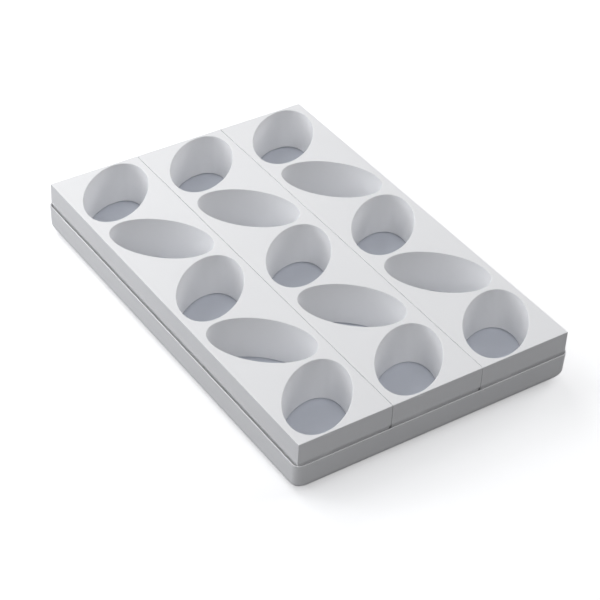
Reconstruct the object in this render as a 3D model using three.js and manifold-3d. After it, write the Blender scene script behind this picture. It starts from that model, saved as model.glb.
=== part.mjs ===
// An egg holder tray: three pocket strips stand side by side in a shallow moulded tray, on a thin liner,
// and lift out one by one. The tray stands on a low ring moulded under its floor.
// Millimetres. X runs across the strips, Y along them, +Z up. The origin is on the surface that the ring
// stands on, under the middle of the tray.
import * as THREE from "three";
import { mergeVertices } from "three/addons/utils/BufferGeometryUtils.js";
import Module from "manifold-3d";

const wasm = await Module();
wasm.setup();

// Driving dimensions
const STRIP_NAMES = ["left", "middle", "right"];
const STRIPS = STRIP_NAMES.length;
const POCKETS = 5; // in each strip
const STRIP_PITCH = 66.667; // strip to strip, across the tray
const POCKET_PITCH = 60; // pocket to pocket, along a strip
const POCKET_LONG = 68.8; // mouth of a pocket, along its long axis
const POCKET_SHORT = 40.4; // and along its short axis
const POCKET_TURN = Math.PI / 4; // the long axes lie at 45 degrees, to alternate sides
const POCKET_DRAFT = 0.3; // how much smaller the foot of a pocket is than its mouth, all round
const SEAM = 0.4; // gap between neighbouring strips
const TOP = 37.5; // height of the strips' top face
const RIM = 21.5; // height of the tray's rim
const SLEEVE_FOOT = 6.6; // height where the pockets' sleeves end, short of the liner
const SKIRT_FOOT = 6.2; // height where the strips' skirts end, which is what a strip stands on
const PLATE = 2.4; // thickness of a strip's top plate
const SKIRT = 2; // thickness of a strip's skirt
const REBATE = 0.6; // how far the skirt steps in where it goes down into the tray
const REBATE_TOP = 22; // height of that step, just above the rim
const SLEEVE = 2; // thickness of a pocket's sleeve
const STRIP_CORNER = 0.6; // radius of a strip's upright corners
const CLEARANCE = 1; // between the strips' sides and the tray's wall
const WALL = 1; // thickness of the tray's wall
const TRAY_CORNER = 5; // outer radius of the tray's upright corners
const TRAY_INNER_CORNER = 4; // and their inner radius
const TRAY_ROUND = 6.5; // outer radius between the tray's wall and its underside
const UNDERSIDE = 1; // height of the tray's underside, above the surface it stands on
const FLOOR_TOP = 3.1; // height of the tray's floor
const FLOOR_ROUND = 3.2; // inner radius between the tray's wall and its floor
const LINER_LIFT = 0.3; // between the tray's floor and the liner
const LINER_THICK = 2.5;
const LINER_INSET = 2.3; // between the liner's edge and the tray's wall
const LINER_CORNER = 5; // radius of the liner's corners, which clears the tray's inner round
const RING_INSET = 14; // from the tray's outer wall to the ring it stands on
const RING_WIDTH = 4;
const RING_CORNER = 8; // outer radius of the ring's corners

// Numbers worked out from the driving dimensions
const STRIP_WIDTH = STRIP_PITCH - SEAM;
const STRIP_LENGTH = POCKETS * POCKET_PITCH;
const BLOCK_WIDTH = STRIPS * STRIP_PITCH - SEAM;
const INNER_WIDTH = BLOCK_WIDTH + 2 * CLEARANCE;
const INNER_LENGTH = STRIP_LENGTH + 2 * CLEARANCE;
const OUTER_WIDTH = INNER_WIDTH + 2 * WALL;
const OUTER_LENGTH = INNER_LENGTH + 2 * WALL;
const ELLIPSE_STEPS = 48; // sides of a pocket
const CORNER_STEPS = 6; // sides of an upright corner
const ROUND_STEPS = 6; // steps of a rounded edge
const SPARE = 5; // how far a cutting solid runs past what it cuts

// A rectangle with round corners, centred on the origin
function roundedRectangle(width, length, radius) {
  const x = width / 2 - radius;
  const y = length / 2 - radius;
  const shape = new THREE.Shape();
  shape.absarc(x, y, radius, 0, Math.PI / 2);
  shape.absarc(-x, y, radius, Math.PI / 2, Math.PI);
  shape.absarc(-x, -y, radius, Math.PI, 1.5 * Math.PI);
  shape.absarc(x, -y, radius, 1.5 * Math.PI, 2 * Math.PI);
  shape.closePath();
  return shape;
}

// A rounded rectangle drawn up from low to high
function block(width, length, radius, low, high) {
  const geometry = new THREE.ExtrudeGeometry(roundedRectangle(width, length, radius), {
    depth: high - low,
    bevelEnabled: false,
    curveSegments: CORNER_STEPS,
  });
  return geometry.translate(0, 0, low);
}

// The same with a rounded lower edge: layer by layer, its outline shrinks towards the foot
function roundBottomed(width, length, radius, round, low, high) {
  const layers = ROUND_STEPS + 1;
  const geometry = new THREE.ExtrudeGeometry(roundedRectangle(width, length, radius), {
    depth: layers,
    steps: layers,
    bevelEnabled: false,
    curveSegments: CORNER_STEPS,
  });
  const p = geometry.attributes.position;
  for (let i = 0; i < p.count; i++) {
    const layer = Math.round(p.getZ(i));
    const turn = (Math.min(layer, ROUND_STEPS) / ROUND_STEPS) * (Math.PI / 2);
    const inset = round * (1 - Math.sin(turn));
    const x = p.getX(i) * (1 - (2 * inset) / width);
    const y = p.getY(i) * (1 - (2 * inset) / length);
    p.setXYZ(i, x, y, layer === layers ? high : low + round * (1 - Math.cos(turn)));
  }
  return geometry;
}

// An upright elliptical cone, its axes turned by angle: grow is added all round at the top
function ellipseColumn(long, short, angle, low, high, grow) {
  const column = new THREE.CylinderGeometry(1, 1, high - low, ELLIPSE_STEPS);
  column.rotateX(Math.PI / 2);
  const p = column.attributes.position;
  for (let i = 0; i < p.count; i++) {
    const wider = p.getZ(i) > 0 ? grow : 0;
    p.setX(i, p.getX(i) * (long / 2 + wider));
    p.setY(i, p.getY(i) * (short / 2 + wider));
  }
  return column.rotateZ(angle).translate(0, 0, (low + high) / 2);
}

// A three.js geometry as a manifold-3d solid
function solid(geometry) {
  const bare = geometry.clone();
  bare.deleteAttribute("normal");
  bare.deleteAttribute("uv");
  const merged = mergeVertices(bare, 1e-4);
  return new wasm.Manifold(
    new wasm.Mesh({
      numProp: 3,
      vertProperties: new Float32Array(merged.attributes.position.array),
      triVerts: new Uint32Array(merged.index.array),
    }),
  );
}

// A manifold-3d solid as a three.js geometry
function geometryOf(made) {
  const mesh = made.getMesh();
  const geometry = new THREE.BufferGeometry();
  geometry.setAttribute("position", new THREE.BufferAttribute(mesh.vertProperties, 3));
  geometry.setIndex(new THREE.BufferAttribute(mesh.triVerts, 1));
  geometry.computeVertexNormals();
  return geometry;
}

// Where the pockets of a strip are, and which way each is turned
function pocketPlaces() {
  const middle = (POCKETS - 1) / 2;
  return Array.from({ length: POCKETS }, (_, i) => ({
    y: (i - middle) * POCKET_PITCH,
    angle: (i % 2 === 0 ? 1 : -1) * POCKET_TURN,
  }));
}

// One strip: a top plate with a skirt all round, and five open oval sleeves hanging from the plate
function stripGeometry() {
  const slope = POCKET_DRAFT / (TOP - SLEEVE_FOOT);
  const footLong = POCKET_LONG - 2 * POCKET_DRAFT;
  const footShort = POCKET_SHORT - 2 * POCKET_DRAFT;
  const upper = block(STRIP_WIDTH, STRIP_LENGTH, STRIP_CORNER, REBATE_TOP, TOP);
  const lowWidth = STRIP_WIDTH - 2 * REBATE;
  const lowLength = STRIP_LENGTH - 2 * REBATE;
  const lower = block(lowWidth, lowLength, STRIP_CORNER, SKIRT_FOOT, (REBATE_TOP + TOP) / 2);
  const inWidth = STRIP_WIDTH - 2 * SKIRT;
  const inLength = STRIP_LENGTH - 2 * SKIRT;
  const inside = block(inWidth, inLength, STRIP_CORNER, SKIRT_FOOT - SPARE, TOP - PLATE);
  let strip = solid(upper).add(solid(lower)).subtract(solid(inside));
  for (const { y, angle } of pocketPlaces()) {
    const long = footLong + 2 * SLEEVE;
    const short = footShort + 2 * SLEEVE;
    const sleeve = ellipseColumn(long, short, angle, SLEEVE_FOOT, TOP - PLATE / 2, POCKET_DRAFT);
    const reach = new THREE.BoxGeometry(STRIP_WIDTH - SKIRT, STRIP_LENGTH - SKIRT, 2 * TOP);
    strip = strip.add(solid(sleeve.translate(0, y, 0)).intersect(solid(reach)));
  }
  for (const { y, angle } of pocketPlaces()) {
    const long = footLong - 2 * slope * SPARE;
    const short = footShort - 2 * slope * SPARE;
    const grow = slope * (TOP - SLEEVE_FOOT + 2 * SPARE);
    const pocket = ellipseColumn(long, short, angle, SLEEVE_FOOT - SPARE, TOP + SPARE, grow);
    strip = strip.subtract(solid(pocket.translate(0, y, 0)));
  }
  return geometryOf(strip);
}

// The tray: a shallow shell with a round-edged underside, and a low ring to stand on
function trayGeometry() {
  const outer = roundBottomed(OUTER_WIDTH, OUTER_LENGTH, TRAY_CORNER, TRAY_ROUND, UNDERSIDE, RIM);
  const corner = TRAY_INNER_CORNER;
  const above = RIM + SPARE;
  const cavity = roundBottomed(INNER_WIDTH, INNER_LENGTH, corner, FLOOR_ROUND, FLOOR_TOP, above);
  const shell = solid(outer).subtract(solid(cavity));
  const ringWidth = OUTER_WIDTH - 2 * RING_INSET;
  const ringLength = OUTER_LENGTH - 2 * RING_INSET;
  const middle = (UNDERSIDE + FLOOR_TOP) / 2;
  const ring = block(ringWidth, ringLength, RING_CORNER, 0, middle);
  const holeWidth = ringWidth - 2 * RING_WIDTH;
  const holeLength = ringLength - 2 * RING_WIDTH;
  const hole = block(holeWidth, holeLength, RING_CORNER - RING_WIDTH, -SPARE, middle + SPARE);
  return geometryOf(shell.add(solid(ring).subtract(solid(hole))));
}

// The liner: a thin sheet that covers the tray's floor
function linerGeometry() {
  const width = INNER_WIDTH - 2 * LINER_INSET;
  const length = INNER_LENGTH - 2 * LINER_INSET;
  const low = FLOOR_TOP + LINER_LIFT;
  return block(width, length, LINER_CORNER, low, low + LINER_THICK);
}

function material(color, roughness) {
  return new THREE.MeshStandardMaterial({ color, roughness, metalness: 0 });
}

function part(name, geometry, look, x = 0, y = 0, z = 0) {
  const mesh = new THREE.Mesh(geometry, look);
  mesh.name = name;
  mesh.position.set(x, y, z);
  return mesh;
}

const white = material(0xf1f1f2, 0.45);
const blueGrey = material(0xc3cad6, 0.55);

const object = new THREE.Group();
object.add(part("tray", trayGeometry(), white));
object.add(part("tray_liner", linerGeometry(), blueGrey));
STRIP_NAMES.forEach((side, i) => {
  const x = (i - (STRIPS - 1) / 2) * STRIP_PITCH;
  object.add(part(`pocket_strip_${side}`, stripGeometry(), white.clone(), x));
});

export default object;
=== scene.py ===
import math

import bmesh
import bpy
from mathutils import Matrix, Vector


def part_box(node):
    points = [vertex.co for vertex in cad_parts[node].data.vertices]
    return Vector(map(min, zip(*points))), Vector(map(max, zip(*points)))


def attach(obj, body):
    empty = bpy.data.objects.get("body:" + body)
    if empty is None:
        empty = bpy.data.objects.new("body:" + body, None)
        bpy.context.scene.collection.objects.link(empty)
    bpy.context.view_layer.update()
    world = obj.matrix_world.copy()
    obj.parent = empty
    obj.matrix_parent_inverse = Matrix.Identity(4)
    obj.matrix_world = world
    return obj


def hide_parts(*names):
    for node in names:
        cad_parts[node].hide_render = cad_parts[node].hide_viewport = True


# An egg holder: three pocket strips stand side by side in a shallow tray, on a thin liner.
# Metres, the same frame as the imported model: X across the strips, Y along them, Z up.

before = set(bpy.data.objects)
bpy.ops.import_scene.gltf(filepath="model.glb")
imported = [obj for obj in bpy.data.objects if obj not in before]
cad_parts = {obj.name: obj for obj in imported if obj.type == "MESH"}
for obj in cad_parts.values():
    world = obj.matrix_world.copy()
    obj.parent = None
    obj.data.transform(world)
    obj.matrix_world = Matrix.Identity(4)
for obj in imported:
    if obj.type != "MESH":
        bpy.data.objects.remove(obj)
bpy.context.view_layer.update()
scene = bpy.context.scene
mm = 0.001
print("frame loaded:", ", ".join(sorted(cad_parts)))


def toLinear(hexColour):
    # sRGB hex, as a colour picker gives it, to the linear values that shaders want
    channels = [int(hexColour[i:i + 2], 16) / 255 for i in (1, 3, 5)]
    linear = [c / 12.92 if c <= 0.04045 else ((c + 0.055) / 1.055) ** 2.4 for c in channels]
    return (*linear, 1.0)


def addNode(tree, kind, settings=None, inputs=None, links=None):
    # settings are the node's own, inputs are socket values, links join sockets to (node, output)
    node = tree.nodes.new(kind)
    for name, value in (settings or {}).items():
        setattr(node, name, value)
    for socket, value in (inputs or {}).items():
        node.inputs[socket].default_value = value
    for socket, (source, output) in (links or {}).items():
        tree.links.new(source.outputs[output], node.inputs[socket])
    return node


# ---- materials

def mouldedPlastic(name, look):
    # Injection-moulded plastic: the mould's spark-eroded skin gives a fine, even grain and a satin
    # sheen, and slow flow lines vary the gloss and the tint a little.
    mat = bpy.data.materials.new(name)
    mat.use_nodes = True
    tree = mat.node_tree
    tree.nodes.clear()
    place = addNode(tree, "ShaderNodeTexCoord")
    perMetre = 1 / mm
    flow = addNode(
        tree, "ShaderNodeTexNoise",
        inputs={
            "Scale": perMetre / look["flowSize"],
            "Detail": 3.0, "Roughness": 0.55, "Distortion": 0.4,
        },
        links={"Vector": (place, "Object")},
    )
    grain = addNode(
        tree, "ShaderNodeTexNoise",
        inputs={"Scale": perMetre / look["grainSize"], "Detail": 2.0, "Roughness": 0.5},
        links={"Vector": (place, "Object")},
    )
    tint = addNode(tree, "ShaderNodeValToRGB", links={"Fac": (flow, "Fac")})
    tint.color_ramp.elements[0].position = 0.3
    tint.color_ramp.elements[0].color = toLinear(look["colour"])
    tint.color_ramp.elements[1].position = 0.7
    tint.color_ramp.elements[1].color = toLinear(look["colourHigh"])
    glossSpread = 0.04
    gloss = addNode(
        tree, "ShaderNodeMapRange",
        inputs={
            "To Min": look["roughness"] - glossSpread,
            "To Max": look["roughness"] + glossSpread,
        },
        links={"Value": (flow, "Fac")},
    )
    relief = addNode(
        tree, "ShaderNodeBump",
        inputs={"Strength": look["grainStrength"], "Distance": look["grainDepth"] * mm},
        links={"Height": (grain, "Fac")},
    )
    shader = addNode(
        tree, "ShaderNodeBsdfPrincipled",
        inputs={"IOR": look["ior"], "Metallic": 0.0},
        links={
            "Base Color": (tint, "Color"),
            "Roughness": (gloss, "Result"),
            "Normal": (relief, "Normal"),
        },
    )
    addNode(tree, "ShaderNodeOutputMaterial", links={"Surface": (shader, "BSDF")})
    return mat


stripPlastic = mouldedPlastic("polystyrene_moulded_satin_white", {
    "colour": "#eeeeef",
    "colourHigh": "#f0f0f1",
    "roughness": 0.5,
    "ior": 1.58,  # polystyrene
    "flowSize": 70,  # mm, slow changes along a moulding
    "grainSize": 0.7,  # mm, coarser than the real 0.1 mm mould grain, so that it shows
    "grainDepth": 0.02,  # mm
    "grainStrength": 0.35,
})
trayPlastic = mouldedPlastic("polystyrene_moulded_satin_white_tray", {
    "colour": "#ededee",
    "colourHigh": "#efeff0",
    "roughness": 0.58,
    "ior": 1.58,
    "flowSize": 90,
    "grainSize": 0.7,
    "grainDepth": 0.025,
    "grainStrength": 0.4,
})
linerPlastic = mouldedPlastic("polypropylene_calendered_pale_blue", {
    "colour": "#d6dae3",
    "colourHigh": "#dadee7",
    "roughness": 0.5,
    "ior": 1.49,  # polypropylene
    "flowSize": 40,
    "grainSize": 1.0,
    "grainDepth": 0.02,
    "grainStrength": 0.3,
})
print("materials made")


# ---- shapes that are drawn ring by ring

creaseAngle = math.radians(40)  # edges that turn more than this stay crisp


def roundedRing(width, length, corner, steps):
    # the outline of a rounded rectangle round the origin, anticlockwise, as (x, y) pairs
    points = []
    for quarter, (sx, sy) in enumerate(((1, 1), (-1, 1), (-1, -1), (1, -1))):
        cx = sx * (width / 2 - corner)
        cy = sy * (length / 2 - corner)
        for step in range(steps + 1):
            angle = (quarter + step / steps) * math.pi / 2
            points.append((cx + corner * math.cos(angle), cy + corner * math.sin(angle)))
    return points


def ovalRing(longAxis, shortAxis, grow, steps):
    # an ellipse moved outwards by grow, all round
    a = longAxis / 2
    b = shortAxis / 2
    points = []
    for step in range(steps):
        angle = 2 * math.pi * step / steps
        x = a * math.cos(angle)
        y = b * math.sin(angle)
        nx = b * math.cos(angle)
        ny = a * math.sin(angle)
        size = math.hypot(nx, ny)
        points.append((x + grow * nx / size, y + grow * ny / size))
    return points


def loftRings(name, rings, centre=(0, 0)):
    # rings are (outline, z), from the bottom's middle, out and up to the top's middle;
    # both ends are closed
    mesh = bmesh.new()
    loops = []
    for outline, z in rings:
        loops.append([mesh.verts.new((centre[0] + x, centre[1] + y, z)) for x, y in outline])
    for low, high in zip(loops, loops[1:]):
        for i in range(len(low)):
            j = (i + 1) % len(low)
            mesh.faces.new((low[i], low[j], high[j], high[i]))
    mesh.faces.new(list(reversed(loops[0])))
    mesh.faces.new(loops[-1])
    mesh.normal_update()
    for face in mesh.faces:
        face.smooth = True
    for edge in mesh.edges:
        edge.smooth = edge.calc_face_angle(0) < creaseAngle
    data = bpy.data.meshes.new(name)
    mesh.to_mesh(data)
    mesh.free()
    piece = bpy.data.objects.new(name, data)
    scene.collection.objects.link(piece)
    return piece


def arc(centre, radius, start, end, steps):
    # points on a circle, as (x, z), between two angles in degrees
    turns = [math.radians(start + (end - start) * i / steps) for i in range(steps + 1)]
    return [(centre[0] + radius * math.cos(t), centre[1] + radius * math.sin(t)) for t in turns]


def evenNormals(piece):
    # big flat faces keep their own direction, so only the small radii shade round
    weigh = piece.modifiers.new("evenNormals", "WEIGHTED_NORMAL")
    weigh.mode = "FACE_AREA"
    weigh.weight = 90  # of 100: nearly all by area
    weigh.keep_sharp = True


def finishedMesh(piece, name):
    # what the modifiers make, as a plain mesh under its own name
    bpy.context.view_layer.update()
    evaluated = piece.evaluated_get(bpy.context.evaluated_depsgraph_get())
    data = bpy.data.meshes.new_from_object(evaluated)
    data.name = name
    made = bpy.data.objects.new(name, data)
    scene.collection.objects.link(made)
    return made


# ---- the tray

trayLow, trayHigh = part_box("tray")
tray = {
    "width": trayHigh.x - trayLow.x,
    "length": trayHigh.y - trayLow.y,
    "rim": trayHigh.z,
    "corner": 5.2 * mm,
    "round": 6.5 * mm,  # between the wall and the underside
    "lean": 0.35 * mm,  # the wall leans in this much towards its foot
    "cornerGrow": 1.8,  # how fast the corners open up below the wall
    "underside": 1.0 * mm,
    "wall": 1.0 * mm,
    "innerCorner": 4.0 * mm,
    "floor": 3.1 * mm,
    "floorRound": 3.2 * mm,
    "rimRound": 0.35 * mm,  # the rim's outer edge
    "rimThin": 0.4 * mm,  # how much thinner the wall is at its rim, on the inside
    "rimTaper": 5.0 * mm,  # over this height
    "rimEdge": 0.12 * mm,  # the rim's inner edge
    "footInset": 14.0 * mm,  # from the wall to the ring that the tray stands on
    "footWidth": 4.0 * mm,
    "footEdge": 0.35 * mm,
    "footCorner": 8.0 * mm,
    "flat": 4.0 * mm,  # width of the last flat band, on the floor and inside the ring
    "underFlat": 3.0 * mm,  # and of the one inside the rounded lower edge
    "cornerSteps": 10,
    "roundSteps": 10,
    "rimSteps": 6,
    "floorSteps": 5,
    "edgeSteps": 3,
}


def trayRing(inset, z, corner):
    width = tray["width"] - 2 * inset
    length = tray["length"] - 2 * inset
    return roundedRing(width, length, corner, tray["cornerSteps"]), z


def trayRings():
    t = tray
    rings = []
    footIn = t["footInset"] + t["footWidth"]
    e = t["footEdge"]
    ringIn = t["footCorner"] - t["footWidth"]
    rings.append(trayRing(footIn + t["flat"], t["underside"], ringIn))
    rings.append(trayRing(footIn, t["underside"], ringIn))
    for inset, z in arc((footIn - e, e), e, 0, -90, t["edgeSteps"]):
        rings.append(trayRing(inset, z, ringIn))
    for inset, z in arc((t["footInset"] + e, e), e, -90, -180, t["edgeSteps"]):
        rings.append(trayRing(inset, z, t["footCorner"]))
    rings.append(trayRing(t["footInset"], t["underside"], t["footCorner"]))
    # the rounded lower edge: its corners are rounder near the underside than at the wall
    r = t["round"]
    widest = t["corner"] + t["cornerGrow"] * r
    rings.append(trayRing(r + t["lean"] + t["underFlat"], t["underside"], widest))
    for inset, z in arc((r + t["lean"], t["underside"] + r), r, -90, -180, t["roundSteps"]):
        rings.append(trayRing(inset, z, t["corner"] + t["cornerGrow"] * (inset - t["lean"])))
    e = t["rimRound"]
    for inset, z in arc((e, t["rim"] - e), e, 180, 90, t["rimSteps"]):
        rings.append(trayRing(inset, z, t["corner"] - inset))
    e = t["rimEdge"]
    inner = t["innerCorner"]
    thin = t["wall"] - t["rimThin"]
    for inset, z in arc((thin - e, t["rim"] - e), e, 90, 0, t["edgeSteps"]):
        rings.append(trayRing(inset, z, inner + t["wall"] - inset))
    rings.append(trayRing(t["wall"], t["rim"] - t["rimTaper"], inner))
    r = t["floorRound"]
    for inset, z in arc((t["wall"] + r, t["floor"] + r), r, -180, -90, t["floorSteps"]):
        rings.append(trayRing(inset, z, inner))
    rings.append(trayRing(t["wall"] + r + t["flat"], t["floor"], inner))
    return rings


trayBlank = loftRings("trayBlank", trayRings())
evenNormals(trayBlank)
trayShell = finishedMesh(trayBlank, "tray_shell")
bpy.data.objects.remove(trayBlank)
trayShell.data.materials.clear()
trayShell.data.materials.append(trayPlastic)
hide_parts("tray")
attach(trayShell, "tray")
print("tray made:", len(trayShell.data.polygons), "faces")


# ---- the liner on the tray's floor

linerLow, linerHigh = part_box("tray_liner")
liner = {
    "width": linerHigh.x - linerLow.x,
    "length": linerHigh.y - linerLow.y,
    "corner": 5.0 * mm,
    "edge": 0.5 * mm,  # cut edges, slightly eased
    "flat": 3.0 * mm,  # width of the flat band inside the edge
    "cornerSteps": 6,
    "edgeSteps": 3,
}


def linerRings():
    n = liner
    e = n["edge"]
    profile = [(n["flat"], linerLow.z)]
    profile += arc((e, linerLow.z + e), e, -90, -180, n["edgeSteps"])
    profile += arc((e, linerHigh.z - e), e, 180, 90, n["edgeSteps"])
    profile += [(n["flat"], linerHigh.z)]
    rings = []
    for inset, z in profile:
        width = n["width"] - 2 * inset
        length = n["length"] - 2 * inset
        rings.append((roundedRing(width, length, n["corner"], n["cornerSteps"]), z))
    return rings


linerBlank = loftRings("linerBlank", linerRings())
evenNormals(linerBlank)
linerSheet = finishedMesh(linerBlank, "liner_sheet")
bpy.data.objects.remove(linerBlank)
linerSheet.data.materials.clear()
linerSheet.data.materials.append(linerPlastic)
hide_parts("tray_liner")
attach(linerSheet, "tray")
print("liner made")


# ---- the pocket strips

strip = {
    "pockets": 5,
    "pitch": 60 * mm,
    "turn": math.radians(45),  # the slant of the ovals
    "pocketLong": 68.8 * mm,
    "pocketShort": 40.4 * mm,
    "draft": 0.3 * mm,
    "sleeve": 2.0 * mm,
    "sleeveFoot": 6.6 * mm,
    "skirt": 2.0 * mm,
    "rebate": 0.6 * mm,  # the skirt steps in just above the tray's rim
    "rebateTop": 22.0 * mm,
    "plate": 2.4 * mm,
    "corner": 0.3 * mm,  # of the upright corners
    "innerEdge": 0.5 * mm,  # inside, between the plate and the skirt
    "stepEdge": 0.2 * mm,  # on the skirt's step
    "topEdge": 0.3 * mm,
    "mouthEdge": 0.4 * mm,
    "footEdge": 0.2 * mm,
    "plateFlat": 6.0 * mm,  # flat band under the plate, inside the skirt
    "topFlat": 3.0 * mm,  # flat band on the top, inside the edge
    "footFlat": 1.0 * mm,  # flat band under a sleeve's foot
    "spare": 3.0 * mm,  # how far the pocket's cutter runs past what it cuts
    "ovalSteps": 120,
    "cornerSteps": 4,
    "edgeSteps": 4,
    "smallSteps": 3,
}


def stripBlank(name, low, high):
    # plate and skirt without pockets: an open-bottomed box with small radii
    s = strip
    width = high.x - low.x
    length = high.y - low.y
    centre = ((low.x + high.x) / 2, (low.y + high.y) / 2)
    e = s["topEdge"]
    inner = s["corner"]
    under = high.z - s["plate"]
    step = s["rebate"]
    stepTop = s["rebateTop"]
    innerEdge = s["innerEdge"]
    stepEdge = s["stepEdge"]
    few = s["smallSteps"]
    profile = [(s["skirt"] + s["plateFlat"], under)]
    profile += arc((s["skirt"] + innerEdge, under - innerEdge), innerEdge, 90, 180, few)
    profile += arc((s["skirt"] - e, low.z + e), e, 0, -90, few)
    profile += arc((step + e, low.z + e), e, -90, -180, few)
    profile += [(step, stepTop)]
    profile += arc((stepEdge, stepTop + stepEdge), stepEdge, -90, -180, few)
    rounded = [(inset, z, inner) for inset, z in profile]
    # the upright corners get sharper over the top edge
    topArc = arc((e, high.z - e), e, 180, 90, s["edgeSteps"])
    rounded += [(inset, z, inner - inset / 2) for inset, z in topArc]
    rounded += [(s["topFlat"], high.z, inner - e / 2)]
    rings = []
    for inset, z, corner in rounded:
        outline = roundedRing(width - 2 * inset, length - 2 * inset, corner, s["cornerSteps"])
        rings.append((outline, z))
    return loftRings(name, rings, centre)


def ovalSolid(name, profile):
    # profile is (growth of the pocket's oval, z)
    s = strip
    rings = []
    for grow, z in profile:
        rings.append((ovalRing(s["pocketLong"], s["pocketShort"], grow, s["ovalSteps"]), z))
    return loftRings(name, rings)


def sleeveSolid(top):
    # the sleeve's outside, still solid, with its rounded foot
    s = strip
    e = s["footEdge"]
    foot = s["sleeveFoot"]
    outside = s["sleeve"] - s["draft"]
    profile = [(outside - s["footFlat"], foot)]
    for turn in (0, math.pi / 6, math.pi / 3, math.pi / 2):
        profile.append((outside - e + e * math.sin(turn), foot + e - e * math.cos(turn)))
    profile.append((s["sleeve"], top - s["plate"] / 2))
    return ovalSolid("sleeveSolid", profile)


def pocketCutter(top):
    # what is cut away for a pocket: it flares at both ends, which leaves a rounded mouth and foot
    s = strip
    foot = s["sleeveFoot"]
    e = s["footEdge"]
    m = s["mouthEdge"]
    steps = s["edgeSteps"]
    turns = [math.pi / 2 * i / steps for i in range(steps + 1)]
    profile = [(e - s["draft"], foot - s["spare"])]
    for turn in turns:
        profile.append((e - s["draft"] - e * math.sin(turn), foot + e - e * math.cos(turn)))
    for turn in turns[:-1]:
        profile.append((m - m * math.cos(turn), top - m + m * math.sin(turn)))
    profile += [(m, top), (m, top + s["spare"])]
    return ovalSolid("pocketCutter", profile)


def pocketRowTree(material):
    # repeats a sleeve and a pocket along the strip, joins the sleeves on and cuts the pockets out;
    # the ovals slant to alternate sides
    tree = bpy.data.node_groups.new("pocketRow", "GeometryNodeTree")
    sockets = {}
    face = tree.interface
    wanted = (
        ("Strip", "NodeSocketGeometry"),
        ("Sleeve", "NodeSocketObject"),
        ("Pocket", "NodeSocketObject"),
        ("Pocket Count", "NodeSocketInt"),
        ("Pitch", "NodeSocketFloat"),
        ("Turn", "NodeSocketFloat"),
        ("Centre", "NodeSocketVector"),
    )
    for name, kind in wanted:
        sockets[name] = face.new_socket(name, in_out="INPUT", socket_type=kind).identifier
    face.new_socket("Strip", in_out="OUTPUT", socket_type="NodeSocketGeometry")
    given = addNode(tree, "NodeGroupInput")
    gaps = addNode(tree, "ShaderNodeMath", {"operation": "SUBTRACT"}, {1: 1.0},
                   {0: (given, "Pocket Count")})
    back = addNode(tree, "ShaderNodeMath", {"operation": "MULTIPLY"}, {1: -0.5},
                   {0: (gaps, "Value")})
    firstY = addNode(tree, "ShaderNodeMath", {"operation": "MULTIPLY"}, None,
                     {0: (back, "Value"), 1: (given, "Pitch")})
    first = addNode(tree, "ShaderNodeCombineXYZ", None, None, {"Y": (firstY, "Value")})
    start = addNode(tree, "ShaderNodeVectorMath", {"operation": "ADD"}, None,
                    {0: (first, "Vector"), 1: (given, "Centre")})
    step = addNode(tree, "ShaderNodeCombineXYZ", None, None, {"Y": (given, "Pitch")})
    row = addNode(tree, "GeometryNodeMeshLine", {"mode": "OFFSET"}, None,
                  {"Count": (given, "Pocket Count"), "Start Location": (start, "Vector"),
                   "Offset": (step, "Vector")})
    index = addNode(tree, "GeometryNodeInputIndex")
    odd = addNode(tree, "ShaderNodeMath", {"operation": "MODULO"}, {1: 2.0}, {0: (index, "Index")})
    side = addNode(tree, "ShaderNodeMath", {"operation": "MULTIPLY_ADD"}, {1: -2.0, 2: 1.0},
                   {0: (odd, "Value")})
    slant = addNode(tree, "ShaderNodeMath", {"operation": "MULTIPLY"}, None,
                    {0: (side, "Value"), 1: (given, "Turn")})
    turned = addNode(tree, "ShaderNodeCombineXYZ", None, None, {"Z": (slant, "Value")})
    solids = {}
    for name in ("Sleeve", "Pocket"):
        shape = addNode(tree, "GeometryNodeObjectInfo", None, None, {"Object": (given, name)})
        repeated = addNode(tree, "GeometryNodeInstanceOnPoints", None, None,
                           {"Points": (row, "Mesh"), "Instance": (shape, "Geometry"),
                            "Rotation": (turned, "Vector")})
        solids[name] = addNode(tree, "GeometryNodeRealizeInstances", None, None,
                               {"Geometry": (repeated, "Instances")})
    joined = addNode(tree, "GeometryNodeMeshBoolean", {"operation": "UNION", "solver": "EXACT"},
                     {"Self Intersection": True})
    tree.links.new(given.outputs["Strip"], joined.inputs["Mesh 2"])
    tree.links.new(solids["Sleeve"].outputs["Geometry"], joined.inputs["Mesh 2"])
    cut = addNode(tree, "GeometryNodeMeshBoolean", {"operation": "DIFFERENCE", "solver": "EXACT"},
                  None, {"Mesh 1": (joined, "Mesh"), "Mesh 2": (solids["Pocket"], "Geometry")})
    clean = addNode(tree, "GeometryNodeMergeByDistance", None, {"Distance": 0.002 * mm},
                    {"Geometry": (cut, "Mesh")})
    real = addNode(tree, "GeometryNodeRealizeInstances", None, None,
                   {"Geometry": (clean, "Geometry")})
    smooth = addNode(tree, "GeometryNodeSetShadeSmooth", None, {"Shade Smooth": True},
                     {"Geometry": (real, "Geometry")})
    angle = addNode(tree, "GeometryNodeInputMeshEdgeAngle")
    steep = addNode(tree, "FunctionNodeCompare",
                    {"data_type": "FLOAT", "operation": "GREATER_THAN"},
                    {1: creaseAngle}, {0: (angle, "Unsigned Angle")})
    crisp = addNode(tree, "GeometryNodeSetShadeSmooth", {"domain": "EDGE"}, {"Shade Smooth": False},
                    {"Geometry": (smooth, "Geometry"), "Selection": (steep, "Result")})
    painted = addNode(tree, "GeometryNodeSetMaterial", None, {"Material": material},
                      {"Geometry": (crisp, "Geometry")})
    addNode(tree, "NodeGroupOutput", None, None, {"Strip": (painted, "Geometry")})
    return tree, sockets


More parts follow.
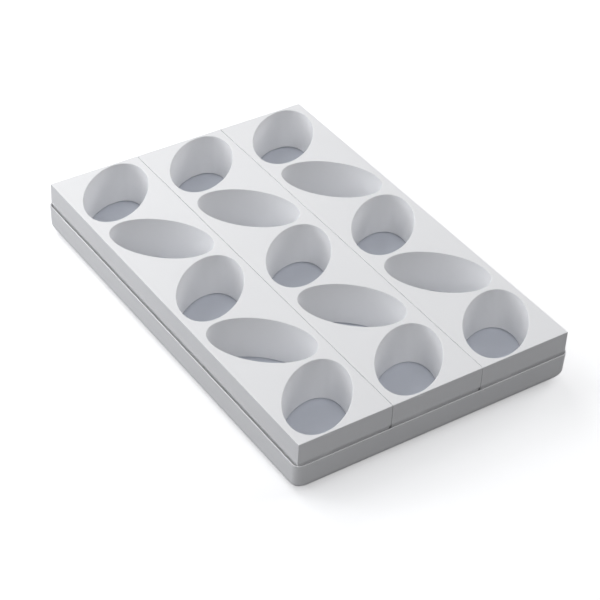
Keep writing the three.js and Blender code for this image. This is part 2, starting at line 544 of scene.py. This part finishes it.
stripTree, stripSockets = pocketRowTree(stripPlastic)
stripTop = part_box("pocket_strip_middle")[1].z
sleeve = sleeveSolid(stripTop)
cutter = pocketCutter(stripTop)
for side in ("left", "middle", "right"):
    low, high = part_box(f"pocket_strip_{side}")
    blank = stripBlank("stripBlank", low, high)
    maker = blank.modifiers.new("pocketRow", "NODES")
    maker.node_group = stripTree
    values = {
        "Sleeve": sleeve, "Pocket": cutter, "Pocket Count": strip["pockets"],
        "Pitch": strip["pitch"], "Turn": strip["turn"],
        "Centre": ((low.x + high.x) / 2, (low.y + high.y) / 2, 0.0),
    }
    for name, value in values.items():
        maker[stripSockets[name]] = value
    evenNormals(blank)
    piece = finishedMesh(blank, f"strip_{side}")
    bpy.data.objects.remove(blank)
    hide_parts(f"pocket_strip_{side}")
    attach(piece, f"strip_{side}")
    print(f"strip {side} made:", len(piece.data.polygons), "faces")
bpy.data.objects.remove(sleeve)
bpy.data.objects.remove(cutter)


# ---- floor, light and camera

studio = {
    "floorSize": 12.0,  # metres
    "floorColour": "#f4f4f5",
    "floorGlow": 0.35,
    "bounceColour": "#9c9c9d",
    "worldColour": "#f0f4fb",
    "worldStrength": 0.11,
}
lamps = {
    # name: place, what it points at, width, height, watts, colour
    "keyBackLeft": ((-0.35, 0.45, 0.7), (0, 0, 0.02), 0.5, 0.5, 2.2, "#ffffff"),
    "softBack": ((0.2, 1.4, 1.0), (0, 0, 0.02), 1.2, 0.8, 7.6, "#ffffff"),
    "lowBackLeft": ((-1.2, 0.9, 0.45), (0, 0, 0.02), 0.8, 0.5, 7.0, "#fafcff"),
    "sideLeft": ((-1.2, 0.1, 0.9), (0, 0, 0.02), 0.8, 0.8, 2.6, "#fafcff"),
    "sideRight": ((1.4, -0.1, 0.8), (0, 0, 0.02), 1.0, 0.8, 8.8, "#ffffff"),
    "highRight": ((0.9, 0.2, 1.1), (0, 0, 0.02), 0.8, 0.8, 1.5, "#ffffff"),
    "fillFront": ((-0.5, -1.1, 1.2), (0, 0, 0.02), 0.9, 0.9, 5.5, "#ffffff"),
}

floorMesh = bpy.data.meshes.new("studio_floor")
half = studio["floorSize"] / 2
floorCorners = [(-half, -half, 0), (half, -half, 0), (half, half, 0), (-half, half, 0)]
floorMesh.from_pydata(floorCorners, [], [(0, 1, 2, 3)])
floor = bpy.data.objects.new("studio_floor", floorMesh)
scene.collection.objects.link(floor)
floorPaper = bpy.data.materials.new("paper_backdrop_matt_white")
floorPaper.use_nodes = True
floorTree = floorPaper.node_tree
floorTree.nodes.clear()
# the paper shows white, as lit from below, and gives the object only a soft grey bounce
shown = addNode(floorTree, "ShaderNodeBsdfPrincipled", None, {
    "Base Color": toLinear(studio["floorColour"]), "Roughness": 0.95, "Specular IOR Level": 0.1,
    "Emission Color": (1, 1, 1, 1), "Emission Strength": studio["floorGlow"],
})
bounced = addNode(floorTree, "ShaderNodeBsdfDiffuse", None, {
    "Color": toLinear(studio["bounceColour"]),
})
rays = addNode(floorTree, "ShaderNodeLightPath")
either = addNode(floorTree, "ShaderNodeMixShader", None, None,
                 {0: (rays, "Is Camera Ray"), 1: (bounced, "BSDF"), 2: (shown, "BSDF")})
addNode(floorTree, "ShaderNodeOutputMaterial", None, None, {"Surface": (either, "Shader")})
floorMesh.materials.append(floorPaper)

world = bpy.data.worlds.new("studio")
scene.world = world
world.use_nodes = True
sky = world.node_tree.nodes["Background"]
sky.inputs["Color"].default_value = toLinear(studio["worldColour"])
sky.inputs["Strength"].default_value = studio["worldStrength"]

for name, (place, target, width, height, watts, colour) in lamps.items():
    data = bpy.data.lights.new(name, "AREA")
    data.shape = "RECTANGLE"
    data.size = width
    data.size_y = height
    data.energy = watts
    data.color = toLinear(colour)[:3]
    lamp = bpy.data.objects.new(name, data)
    lamp.location = place
    lamp.rotation_euler = (Vector(target) - Vector(place)).to_track_quat("-Z", "Y").to_euler()
    scene.collection.objects.link(lamp)

camera = {
    "azimuth": -35.526,  # degrees, from straight along the strips
    "elevation": 38.287,
    "roll": 3.048,
    "lens": 115.77,  # mm
    "sensor": 36.0,  # mm
    "clipStart": 0.05,
    "clipEnd": 50,
    "place": (-573.906 * mm, -807.750 * mm, 745.436 * mm),  # from the middle of the strips' top
}
turn = math.radians(camera["azimuth"])
rise = math.radians(camera["elevation"])
roll = math.radians(camera["roll"])
away = math.cos(rise)
backward = Vector((math.sin(turn) * away, -math.cos(turn) * away, math.sin(rise)))
level = Vector((math.cos(turn), math.sin(turn), 0))
upright = backward.cross(level)
right = level * math.cos(roll) + upright * math.sin(roll)
up = upright * math.cos(roll) - level * math.sin(roll)
eye = bpy.data.cameras.new("camera")
eye.lens = camera["lens"]
eye.sensor_width = camera["sensor"]
eye.clip_start = camera["clipStart"]
eye.clip_end = camera["clipEnd"]
eyeObject = bpy.data.objects.new("camera", eye)
facing = Matrix((right, up, backward)).transposed().to_4x4()
standing = Vector(camera["place"]) + Vector((0, 0, stripTop))
eyeObject.matrix_world = Matrix.Translation(standing) @ facing
scene.collection.objects.link(eyeObject)
scene.camera = eyeObject

scene.view_settings.view_transform = "Standard"
scene.view_settings.look = "None"
print("studio set")
